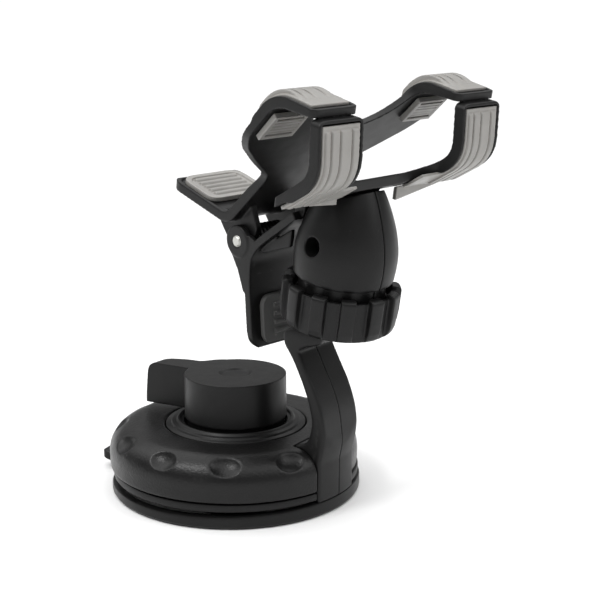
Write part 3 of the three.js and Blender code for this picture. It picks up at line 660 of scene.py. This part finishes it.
def knob():
    low, high = KNOB_LOW, KNOB_TOP
    wide, narrow = KNOB_R
    hollow, ceiling = KNOB_HOLLOW_R, 32
    skirt, foot = 15.2, 16.6
    hub, bore, hub_foot, bore_end = 6, 3.7, 19.6, 33
    body = turned([(0, high), (narrow, high), (wide, low), (skirt, low), (skirt, foot), (hollow, foot),
                   (hollow, ceiling), (hub, ceiling), (hub, hub_foot), (bore, hub_foot), (bore, bore_end),
                   (0, bore_end)], 200)
    plan = rounded([
        (-10, -10.5), (-15.2, -4.2, 1.2), (-WING_REACH - 1, -6.3, 1.2), (-32.2, -3.5, 1), (-28.5, 0.6, 2),
        (-22.5, 3.6, 3), (-17.4, 4.2, 1.6), (-14, 9.5, 2), (-10, 11.5),
    ], True)
    side = rounded([
        (-8, low), (-WING_REACH - 0.9, low), (-WING_REACH + 0.5, high, 3.6), (-8, high),
    ], True, 16)
    wing = meet(along_z(plan, low, high), along_y(side, -15, 15))
    wing = cut(wing, turned([(0, low - 1), (hollow, low - 1), (hollow, ceiling), (0, ceiling)], 120))
    dish = turned([(0, high - 0.7), (4.2, high - 0.7), (5.5, high + 0.1), (0, high + 0.1)], 120)
    body = softened(cut(join(body, wing), dish), 0.2, 6, 0.8)
    piece("knob_body", body, "shell", "knob", ["lock_knob"])


# ---------- arm ----------
NECK_WAY = Vector((math.sin(NECK_LEAN), 0, math.cos(NECK_LEAN)))
NECK_END, NECK_R = 16.6, 4.0
KEY_R, KEY_FROM, KEY_TO = 5.2, 13.2, 14.8
ARM_SEAM = 0.06                  # each half stands back that far from the middle
HALVES = (("near", -1), ("far", 1))


def along_neck(reach):
    """The point on the neck's axis at a distance below the ball's centre."""
    return BALL - NECK_WAY * reach


def half_of(mesh, side, seam, x_span, z_span):
    """The part of a mesh on one side of its middle seam, within the two spans."""
    y_span = sorted((side * seam, side * 20))
    return meet(mesh, box(*x_span, *y_span, *z_span))


def arm_body():
    inner = spline([(34.5, 25.6), (34.9, 29), (33.8, 34), (31.5, 40), (28.2, 46.5), (25.4, 50.6)], 40)
    outer = spline([(30.2, 49.4), (33.4, 43.3), (36.5, 37.4), (38.8, 30.8), (39.9, 23)], 40)
    side = [*rounded([(FOOT_X, 7.7), (FOOT_X, 20.6, 0.8), (33.4, 22.0, 2), inner[0]]), *inner,
            *rounded([inner[-1], (24.9, 52, 1), (24.9, 55.2, 1.8), (34.4, 58.6, 1.6), (39.4, 56.4, 1.6),
                      (38.0, 52.2, 1.8), (31.9, 50.6, 1.6), outer[0]]),
            *outer, (39.6, 4.2), (LIP_X, 4.2), (LIP_X, 7.7)]
    slab = along_y(side, -ARM_HALF, ARM_HALF)
    wall = BASE_R
    rim = turned([(0, 0), (wall, 0), (wall, 16), (wall + 1.2, 21.5), (wall + 2, 30), (50, 45), (50, 70),
                  (0, 70)], 200)
    front = rounded([(-ARM_HALF, 0), (-ARM_HALF, 59, 5.5), (ARM_HALF, 59, 5.5), (ARM_HALF, 0)], True)
    return meet(slab, rim, along_x(front, 20, 45))


def arm():
    x, z = ARM_SCREW
    whole = softened(arm_body(), 0.3, 30, 0.6)
    for name, side in HALVES:
        half = half_of(whole.copy(), side, ARM_SEAM, (0, 60), (0, 90))
        tools = [rod(along_neck(9), along_neck(17), NECK_R + GAP),
                 rod(along_neck(KEY_FROM - GAP), along_neck(KEY_TO + GAP), KEY_R + GAP)]
        if side > 0:
            tools.append(rod((x, ARM_HALF - 2.2, z), (x, 20, z), 2.4))
        half = softened(cut(half, *tools), 0.22, 2, 0.5)
        piece(f"arm_{name}", half, "shell", "base", [f"arm_{name}_half"])


def stud():
    """The ball on its neck, with the disc that keys it into the arm."""
    sphere = moved(ellipsoid((BALL_R,) * 3, 96, 64), Matrix.Translation(BALL))
    neck = rod(along_neck(0), along_neck(NECK_END), 3.6, NECK_R)
    key = rod(along_neck(KEY_FROM), along_neck(KEY_TO), KEY_R)
    body = softened(join(sphere, neck, key), 0.3, 2, 0.6)
    piece("ball_and_neck", body, "smooth", "base", ["ball_stud"])


# ---------- collar nut ----------
NUT_R, NUT_ROOT, NUT_TOP, NUT_BOTTOM = 17.35, 15.45, 2.2, -10.8
NUT_RIBS, NUT_PHASE = 12, -8.2
# each rib and the groove after it, as shares of the pitch
RIB_EDGE, RIB_POINTS, GROOVE_POINTS = 0.262, (-0.228, -0.12, 0, 0.12, 0.228), (0.38, 0.5, 0.62)


def nut():
    pitch = 360 / NUT_RIBS
    loop = [(-RIB_EDGE, NUT_ROOT), *[(share, NUT_R) for share in RIB_POINTS], (RIB_EDGE, NUT_ROOT),
            *[(share, NUT_ROOT) for share in GROOVE_POINTS]]
    outline = [polar(r, (i + share) * pitch + NUT_PHASE) for i in range(NUT_RIBS) for share, r in loop]
    ribbed = along_z(outline, NUT_BOTTOM, NUT_TOP)
    envelope = turned([(0, NUT_BOTTOM), (14.4, NUT_BOTTOM), (15.6, -10.5), (16.5, -9.6), (17.1, -7.8),
                       (17.4, -4), (17.4, 1.0), (17.1, 1.8), (16.3, NUT_TOP), (0, NUT_TOP)])
    room = turned([(0, -12), (13.9, -12), (13.4, NUT_BOTTOM), (10.6, -6), (10.6, -5.2), (13.1, -5.2),
                   (13.1, 3), (0, 3)])
    trough = turned([(13.0, -1.5), (13.6, -1.5), (14.7, 3), (13.0, 3)])
    body = cut(meet(ribbed, envelope), room, trough)
    for i in range(NUT_RIBS):
        notch = box(NUT_ROOT - 1.5, 20, -2.0, 2.0, 0.9, 4)
        body = cut(body, about_z(notch, (i + 0.5) * pitch + NUT_PHASE))
    piece("nut_body", softened(body, 0.22, 3, 0.5), "shell", "nut", ["collar_nut"], HEAD)


# ---------- housing ----------
BELL_SEAM = 0.11
JAW_ROOM = [(-40, -14), (-24.1, 5.0), (-10.3, 17.9), (-9.6, 24.7), (1.6, 28.9), (8, 31.8), (20, 40),
            (20, 70), (-40, 70)]


def housing():
    """The bell with its hollow, the slot for the jaw's post and the slope that the jaw lies on."""
    bell = [(14.6, 5.0), (14.9, 9), (14.75, 13), (13.7, 18), (11.95, 23), (9.9, 27.5), (7.6, 31.5),
            (5, 35)]
    profile = [(0, -3), (12.7, -3), (12.7, 3.9), (14.1, 4.05), (14.4, 4.3), *spline(bell, 40), (0, 36)]
    outside = turned(profile, 200)
    inside = turned([(0, -4), (10.3, -4), (10.3, 10.2), (0, 10.2)])
    room = POST_HALF + GAP
    post = box(-room, room, -room, room, 11.4, 50)
    slope = along_y([(d + JAW_D, n) for d, n in JAW_ROOM], -20, 20)
    return cut(outside, inside, post, slope)


def housing_halves():
    for name, side in HALVES:
        half = half_of(housing(), side, BELL_SEAM, (-20, 20), (-20, 60))
        tools = [rod((0, -20, SCREW_N), (0, 12, SCREW_N), SCREW_HOLE_R)]
        if side < 0:
            tools.append(rod((0, -20, SCREW_N), (0, -8.3, SCREW_N), 2.75))
        half = softened(cut(half, *tools), 0.24, 3, 0.5)
        piece(f"bell_{name}", half, "smooth", "clamp", [f"housing_{name}_half"], HEAD)


# ---------- jaws ----------
THUMB_END = (-65.4, 13.0)
THUMB_BEND = (-37.9, 9.2)
UPPER_LINE = rounded([THUMB_END, (*THUMB_BEND, 4.5), (1.0, 56.8, 4.6), (15.0, 55.7)], False, 20)
LOWER_LINE = rounded([(-14, 26.2), (3.2, 32.6, 4), (15.5, 42.2, 4), (13.78, 56.4)], False, 20)
LEVER_LINE = rounded([
    (-11.6, 20.2), (-26.0, 7.0, 3), (-29.0, 1.5, 2.4), (-28.2, -6.8, 3), (-24.0, -26),
], False, 12)
FINGERS = (("near", -JAW_HALF, -FINGER_IN), ("far", FINGER_IN, JAW_HALF))
RAIL_WIDTH = 1.0
LOWER_RAIL, UPPER_RAIL = 1.15, 0.7


def both_sides(outline, near, far):
    """The outline pulled across on both sides, between two distances from the middle."""
    return [along_y(outline, -far, -near), along_y(outline, near, far)]


def pin_hole():
    return rod((PIN_D, -20, PIN_N), (PIN_D, 20, PIN_N), PIN_R + PIN_PLAY)


def frame_rails(line, outer_start, inner_start, tip_start, side, height):
    """The raised frame round a finger's soft grip: a rail on each edge and one across the tip."""
    rails = []
    near, far = side * (JAW_T - 0.3), side * (JAW_T + height)
    for _, q0, q1 in FINGERS:
        starts = (outer_start, inner_start) if q0 < 0 else (inner_start, outer_start)
        rails.append(along_y(raised(line, starts[0], 1, near, far, 0.16), q0, q0 + RAIL_WIDTH))
        rails.append(along_y(raised(line, starts[1], 1, near, far, 0.16), q1 - RAIL_WIDTH, q1))
        rails.append(along_y(strip(stretch(line, tip_start, 1, 4), near, far), q0, q1))
    return rails


def finger_corners(pulled, low, high, root, end, reach):
    """What the fingers are trimmed to: everything short of root, and a strip with rounded corners for
    each finger."""
    shapes = [pulled([(root, -40), (root, 40), (-80, 40), (-80, -40)], low, high)]
    for _, q0, q1 in FINGERS:
        near, far = q0 - 0.1, q1 + 0.1
        tip = rounded([(root - 1, near), (end, near, reach), (end, far, reach), (root - 1, far)])
        shapes.append(pulled(tip, low, high))
    return join(*shapes)


def lower_plate():
    """The jaw's plate with both fingers and their rails."""
    plan = mirrored(rounded([
        (-14, 9), (-4, 11.5, 3), (1.5, 14, 3), (3.8, 24, 3), (4.0, JAW_HALF, 1.2), (20, JAW_HALF),
        (20, FINGER_IN), (10.4, FINGER_IN, 2.5), (7, 11.5, 3), (7, 0),
    ]))
    band = along_y(strip(LOWER_LINE, 0, -JAW_T), -JAW_HALF, JAW_HALF)
    rails = frame_rails(LOWER_LINE, 0.44, 0.53, 0.973, -1, LOWER_RAIL)
    tips = finger_corners(forward, -40, 40, 46, LOWER_LINE[-1][1] + 0.05, 2.4)
    return meet(join(meet(band, along_z(plan, 0, 60)), *rails), tips)


def lever():
    front = rounded([
        (-LEVER_HALF, 30), (-LEVER_HALF, -26.6, 6), (LEVER_HALF, -26.6, 6), (LEVER_HALF, 30),
    ], True)
    band = along_y(strip(LEVER_LINE, JAW_T / 2, -JAW_T / 2), -LEVER_HALF, LEVER_HALF)
    return meet(band, along_x(front, -40, 0))


def lower_jaw():
    hub = along_y([
        (-18.5, 14.6), (-10.9, 19.2), (-10.0, 25.9), (-12, 26.9), (-14, 26), (-14.6, 18.6),
    ], -9, 9)
    boss = along_y([
        (-10, 25.6), (-9.2, 25.7), (1.6, 29.9), (7, 32.2), (7, 35), (2, 32), (-10, 27.5),
    ], -11, 11)
    post = box(-POST_HALF - JAW_D, POST_HALF - JAW_D, -POST_HALF, POST_HALF, 11.8, 30.5)
    flange = [(-37.6, 2.2), (-32.9, -3.5), (-29.6, -9.4), (-27.4, -10), (-27.6, 4), (-25.5, 7.4),
              (-29.6, 8.4)]
    rib = [(-25.2, 4.0), (-13.8, 9.7), (-13.8, 15.2), (-23.6, 7.4), (-26.2, 5.0)]
    parts = [lever(), hub, boss, post]
    parts += both_sides(flange, LUG_IN, LEVER_HALF)
    parts += both_sides(circle(PIN_D, PIN_N, LUG_R), LUG_IN, LEVER_HALF + 0.4)
    parts += both_sides(rib, 8.4, 10.0)
    screw_hole = rod((-JAW_D, -20, SCREW_N), (-JAW_D, 20, SCREW_N), SCREW_HOLE_R)
    body = softened(cut(join(lower_plate(), *parts), screw_hole, pin_hole()), 0.26, 5, 0.5)
    piece("jaw_lower", body, "shell", "clamp", ["lower_jaw"], JAWS)


NOTCH_N = 44.6
THUMB_TIP = -66
THUMB_RIM = 1.25
THUMB_HALF = 13.2


def upper_jaw():
    half = rounded([
        (THUMB_HALF, 0), (THUMB_HALF, 29, 3), (22, 34.6, 3), (32, 41.8, 3), (JAW_HALF, 46.8, 2),
        (JAW_HALF, 64), (FINGER_IN, 64), (FINGER_IN, 56, 2), (15, NOTCH_N + 4, 5), (5, NOTCH_N, 3),
        (0, NOTCH_N),
    ])
    front = [*half, *[(-q, n) for q, n in reversed(half)]]
    thumb = rounded([
        (THUMB_TIP, -THUMB_HALF, 5), (20, -THUMB_HALF), (20, -JAW_HALF), (30, -JAW_HALF), (30, JAW_HALF),
        (20, JAW_HALF), (20, THUMB_HALF), (THUMB_TIP, THUMB_HALF, 5),
    ], True)
    wide = box(-35, 30, -40, 40, 0, 70)
    limits = join(along_z(thumb, 0, 70), wide)
    band = along_y(strip(UPPER_LINE, 0, JAW_T), -JAW_HALF, JAW_HALF)
    band = meet(band, along_x(front, -70, 30), limits)
    edge, tray_end = THUMB_HALF - THUMB_RIM, THUMB_TIP + 1.6
    tray = rounded([(0, edge), (tray_end, edge, 4), (tray_end, -edge, 4), (0, -edge)])
    rim = raised(UPPER_LINE, 0, 0.56, JAW_T - 0.3, JAW_T + 0.75, 0, 0.3)
    rim = cut(meet(along_y(rim, -THUMB_HALF, THUMB_HALF), limits), along_z(tray, 0, 70))
    rails = frame_rails(UPPER_LINE, 0.75, 0.75, 0.986, 1, UPPER_RAIL)
    tips = finger_corners(along_z, 40, 70, 8, UPPER_LINE[-1][0] + 0.25, 2.6)
    tips = join(tips, box(-80, 8, -40, 40, -10, 41))
    lug = rounded([
        (-47.5, 10.8), (-41.6, 4.4, 2), (-37.2, 1.6, 2), (-33, 0.9, 2), (-29.7, 3.4, 2), (-28.4, 10.8, 1),
        (-31.6, 16.4),
    ], True)
    under_tips = along_y([(4, 56.56), (16.5, 56.55), (16.5, 54), (4, 54)], -40, 40)
    body = meet(join(band, rim, *rails), tips)
    body = cut(join(body, *both_sides(lug, 7.9, 9.9)), pin_hole(), under_tips)
    body = softened(body, 0.26, 5, 0.5)
    piece("jaw_upper", body, "shell", "upper_jaw", ["upper_jaw"], JAWS)


# ---------- soft grips ----------
BORDER = 1.3
GRIP_T = 1.0
UPPER_BAND, LOWER_BAND = (0.765, 0.976), (0.41, 0.963)   # shares of the jaws' lines that bands cover
BAND_GAP, GRIP_GAP = 0.12, 0.15  # clearances under the bands and under the other soft pieces
GROOVES = (0.2, 0.44, 0.76)      # places of the grooves across a grip
GROOVE_HALF = 0.36


def grip_band(line, start, end, side, q0, q1, crown, rise, fall):
    """A soft band on a finger's outer face: four long swells with grooves between them, which stand up
    by crown and die away towards both ends."""
    lo, hi = q0 + BORDER, q1 - BORDER
    base, skin = side * (JAW_T + BAND_GAP), side * (JAW_T + BAND_GAP + GRIP_T)
    body = along_y(strip(stretch(line, start, end), base, skin), lo, hi)
    edges = [lo + (hi - lo) * share for share in (0.03, *GROOVES, 0.97)]
    low, high = skin - side * 0.3, skin + side * crown
    for left, right in zip(edges, edges[1:]):
        swell = raised(line, start + 0.004, end - 0.012, low, high, rise, fall)
        body = join(body, along_y(swell, left + GROOVE_HALF, right - GROOVE_HALF))
    return body


def grip_tail(sign):
    """Under the jaw's plate, from a finger to the housing: a flat tail with a low web at its front."""
    top = -JAW_T - GRIP_GAP
    tail = strip(stretch(LOWER_LINE, 0.4, 0.57), top, -JAW_T - 0.95)
    tail = along_y(tail, *sorted((sign * 13.1, sign * (FINGER_IN + 2))))
    below = along_y(strip(stretch(LOWER_LINE, 0.3, 0.6), top, -JAW_T - 9), -35, 35)
    low, out = (26.3, 31) if sign > 0 else (28.2, 25)
    web = along_x([(sign * 12, low), (sign * out, 29.5), (sign * out, 33), (sign * 12, 33)], 2.9, 4.3)
    return join(tail, meet(web, below))


def grips():
    for name, q0, q1 in FINGERS:
        crown = 1.6 if name == "far" else 1.3
        top = grip_band(UPPER_LINE, *UPPER_BAND, 1, q0, q1, crown, 0.2, 0.55)
        top = softened(top, 0.2, 6, 0.5)
        piece(f"grip_upper_{name}", top, "grip", "upper_jaw", [f"upper_grip_{name}"], JAWS)
        under = grip_band(LOWER_LINE, *LOWER_BAND, -1, q0, q1, 0.6, 0.06, 0.05)
        under = softened(join(under, grip_tail(1 if q0 > 0 else -1)), 0.2, 6, 0.5)
        piece(f"grip_lower_{name}", under, "grip", "clamp", [f"lower_grip_{name}"], JAWS)
        inner_pad(name, q0, q1)


def inner_pad(name, q0, q1):
    """Pad inside an upper finger: a raised rim around five short ribs across."""
    start, end = 0.742, 0.836
    lo, hi = q0 + 1.9, q1 - 1.9
    body = along_y(strip(stretch(UPPER_LINE, start, end), -1.8, -GRIP_GAP), lo, hi)
    tray = strip(stretch(UPPER_LINE, start + 0.012, end - 0.01), -3, -0.9)
    body = cut(body, along_y(tray, lo + 1.2, hi - 1.2))
    count = 5
    for i in range(count):
        middle = start + 0.018 + (end - start - 0.034) * (i + 0.5) / count
        rib = strip(stretch(UPPER_LINE, middle - 0.004, middle + 0.004), -1.75, -0.7)
        body = join(body, along_y(rib, lo + 1.0, hi - 1.0))
    body = softened(body, 0.16, 3, 0.5)
    piece(f"pad_inner_{name}", body, "grip", "upper_jaw", [f"upper_inner_pad_{name}"], JAWS)


def thumb_rest():
    """Pad on the thumb plate: a raised rim around ribs that run across."""
    slope = math.atan2(THUMB_BEND[1] - THUMB_END[1], THUMB_BEND[0] - THUMB_END[0])
    length, half, thick, edge = 16.4, 11.6, 1.5, 1.7
    outline = [(0, -half, 5), (length, -half, 3.5), (length, half, 3.5), (0, half, 5)]
    tray = [(edge, -half + edge, 3.8), (length - edge, -half + edge, 2.6),
            (length - edge, half - edge, 2.6), (edge, half - edge, 3.8)]
    body = along_z(rounded(outline, True), 0, thick)
    body = cut(body, along_z(rounded(tray, True), thick - 0.45, 3))
    count = 5
    for i in range(count):
        x = 3.3 + (length - 6.6) * i / (count - 1)
        body = join(body, rod((x, -half + 3.4, thick - 0.75), (x, half - 3.4, thick - 0.75), 0.95))
    body = softened(body, 0.18, 4, 0.5)
    lay = Matrix.Translation((THUMB_END[0] + 1.4, 0, THUMB_END[1] - 0.19))
    lay = lay @ Matrix.Rotation(-slope, 4, "Y") @ Matrix.Translation((0, 0, JAW_T + GRIP_GAP))
    piece("pad_thumb", moved(body, lay), "grip", "upper_jaw", ["thumb_pad"], JAWS)


def finger_rest():
    """Pad on the lever, with four ribs across."""
    half, low, high, lean = 8.5, -24.8, -9.9, 0.219
    back, front = JAW_T / 2 + BAND_GAP, JAW_T / 2 + 1.9
    end_d, end_n = LEVER_LINE[-1]
    face = rounded([(-half, low, 4), (half, low, 4), (half, high, 4), (-half, high, 4)], True)
    body = along_y(strip(stretch(LEVER_LINE, 0.70, 0.975), back, front), -half, half)
    body = meet(body, along_x(face, -40, 0))
    for n in (-13.0, -15.6, -18.2, -20.8):
        d = end_d - (n - end_n) * lean + front
        body = join(body, rod((d, -4.4, n), (d, 4.4, n), 0.75))
    body = softened(body, 0.2, 3, 0.5)
    piece("pad_finger", body, "grip_dark", "clamp", ["finger_pad"], JAWS)


def pin():
    """The hinge pin with its riveted ends."""
    body = rod((PIN_D, -12.5, PIN_N), (PIN_D, 12.5, PIN_N), PIN_R, None, 64)
    ends = []
    for _, side in HALVES:
        ends.append(rod((PIN_D, side * 12.2, PIN_N), (PIN_D, side * 12.7, PIN_N), 1.75, 1.3, 64))
    body = join(body, *ends)
    piece("pin_steel", body, "steel", "clamp", ["hinge_pin"], JAWS, sharp=30)


def spring():
    """Round wire wound about the pin, its ends cut square."""
    radius, wire, half = 3.6, 0.62, 5.3
    turns, per_turn, sides = 7, 40, 14
    points, faces = [], []
    steps = turns * per_turn
    for i in range(steps + 1):
        angle = 2 * math.pi * i / per_turn
        for k in range(sides):
            around = 2 * math.pi * k / sides
            r = radius + wire * math.cos(around)
            along = -half + 2 * half * i / steps + wire * math.sin(around)
            points.append((PIN_D + r * math.cos(angle), along, PIN_N + r * math.sin(angle)))
    for i in range(steps):
        for k in range(sides):
            a, b = i * sides + k, i * sides + (k + 1) % sides
            faces.append((a, b, b + sides, a + sides))
    faces += [tuple(range(sides)), tuple(range(steps * sides, (steps + 1) * sides))]
    wound = mesh_of(points, faces)
    piece("spring_wire", wound, "dark_steel", "clamp", ["torsion_spring"], JAWS, sharp=40)


def screw(name, node_name, start, way, head_r, head_h, shank_r, length, body, frame_of):
    """Pan head with a cross recess on a plain shank, standing on start and pointing along way."""
    corner, steps = head_h * 0.6, 6
    turns = [math.pi / 2 * (1 - k / steps) for k in range(steps + 1)]
    bend = [(head_r - corner * (1 - math.cos(a)), corner * (1 - math.sin(a))) for a in turns]
    shank = [(shank_r, head_h), (shank_r, length), (0, length)]
    made = turned([(0, 0), *bend, (head_r, head_h), *shank], 64)
    reach, half, deep = 0.62 * head_r, 0.16 * head_r, 0.55 * head_h
    cross = [box(-reach, reach, -half, half, -1, deep), box(-half, half, -reach, reach, -1, deep)]
    turn = Vector(way).to_track_quat("Z", "Y").to_matrix().to_4x4()
    made = moved(cut(made, *cross), Matrix.Translation(start) @ turn)
    piece(name, made, "dark_steel", body, [node_name], frame_of, sharp=30)


def screws():
    x, z = ARM_SCREW
    in_arm, in_bell = (x, ARM_HALF - 0.4, z), (0, -10.2, SCREW_N)
    screw("arm_screw_head", "arm_screw", in_arm, (0, -1, 0), 2.1, 1.5, 1.0, 16, "base", BASE)
    screw("bell_screw", "housing_screw", in_bell, (0, 1, 0), 2.6, 1.6, 1.35, 21, "clamp", HEAD)


# ---------- carried-over CAD nodes ----------
SLOT_LOOK = {"steel": "steel", "acetal": "acetal", "shell": "smooth", "grip": "grip",
             "grip_dark": "grip_dark", "soft_cup": "cup"}


def carried_over():
    """Gives every CAD node that no piece replaces the look of its material slot."""
    slot_of = {row["node"]: row["material_slot"] for row in record["subparts"]}
    for name, obj in frame["nodes"].items():
        if obj.hide_render:
            continue
        obj.data.materials.clear()
        obj.data.materials.append(LOOK[SLOT_LOOK[slot_of[name]]])


def floor():
    half, pale = 3, 0.84
    mesh = bpy.data.meshes.new("floor")
    corners = [(-half, -half, 0), (half, -half, 0), (half, half, 0), (-half, half, 0)]
    mesh.from_pydata(corners, [], [(0, 1, 2, 3)])
    mat, _ = new_material("floor", (pale, pale, pale), 0.7)
    mesh.materials.append(mat)
    obj = bpy.data.objects.new("floor", mesh)
    bpy.context.scene.collection.objects.link(obj)


camera()
studio()
floor()
cup()
pull_tab()
plate()
dome()
ring()
knob()
arm()
stud()
nut()
housing_halves()
lower_jaw()
upper_jaw()
grips()
thumb_rest()
finger_rest()
pin()
spring()
screws()
carried_over()
